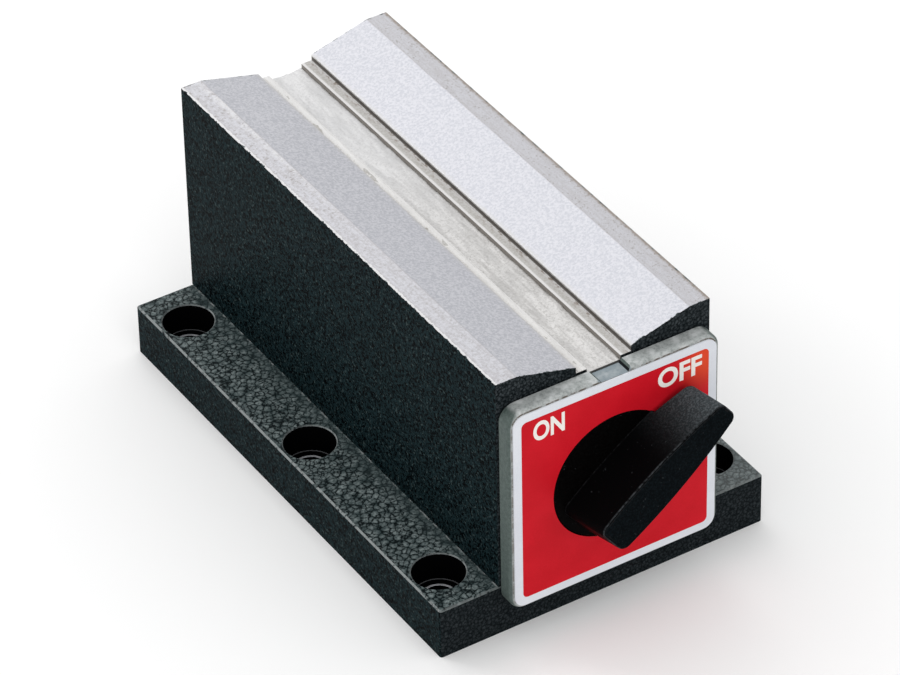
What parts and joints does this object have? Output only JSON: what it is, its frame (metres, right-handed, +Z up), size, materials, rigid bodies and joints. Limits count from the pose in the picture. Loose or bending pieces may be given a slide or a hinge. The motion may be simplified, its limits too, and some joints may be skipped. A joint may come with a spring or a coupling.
{
  "type": "magnetic clamping block",
  "caption": "Switchable magnetic block with a shallow V on top, a bolt-down flange on both sides and an ON/OFF knob on the front that turns the magnet rotor.",
  "frame": {"origin": "middle of the flange's underside, on the plane that it is bolted down to", "axes": "+Z up out of the V, +Y along the V to the back, away from the knob, +X to the right as seen from the knob"},
  "size_m": [0.0776, 0.1355, 0.0627],
  "materials": {
    "painted_iron": "hammertone paint, green-black",
    "painted_steel": "hammertone paint on the sides and ends, ground bright on top",
    "white_metal": "rough as cast",
    "black_steel": "black oxide",
    "bright_steel": "turned",
    "gasket_paper": "matt",
    "die_cast_zinc": "satin, fine brushing",
    "printed_foil": "red print with a white border",
    "bronze": "turned",
    "shoe_steel": "turned",
    "bar_aluminium": "turned",
    "ferrite": "ground",
    "nylon": "plain",
    "knob_plastic": "moulded, fine grain",
    "seal_rubber": "matt"
  },
  "bodies": {
    "block": {"base_flange": "painted_iron", "left_pole": "painted_steel", "right_pole": "painted_steel", "top_separator": "white_metal", "bottom_separator": "white_metal", "base_screws": "black_steel", "base_dowels": "bright_steel", "front_gasket": "gasket_paper", "front_plate": "die_cast_zinc", "plate_screws": "bright_steel", "dial_label": "printed_foil", "front_bearing": "bronze", "rear_bearing": "bronze", "rear_cover": "bright_steel"},
    "rotor": {"knob": "knob_plastic", "knob_seal": "seal_rubber", "front_thrust_washer": "nylon", "front_hub": "bronze", "front_hub_screws": "bright_steel", "stop_pin": "bright_steel", "upper_shoe": "shoe_steel", "lower_shoe": "shoe_steel", "left_side_bar": "bar_aluminium", "right_side_bar": "bar_aluminium", "magnet_1": "ferrite", "magnet_2": "ferrite", "magnet_3": "ferrite", "magnet_4": "ferrite", "rear_hub_screws": "bright_steel", "rear_hub": "bronze", "rear_thrust_washer": "nylon"}
  },
  "joints": [
    {"name": "knob_turn", "type": "hinge", "parent": "block", "child": "rotor", "pos_m": [0, -0.06, 0.0326], "axis": [0, -1, 0], "range_deg": [0, 105]}
  ]
}
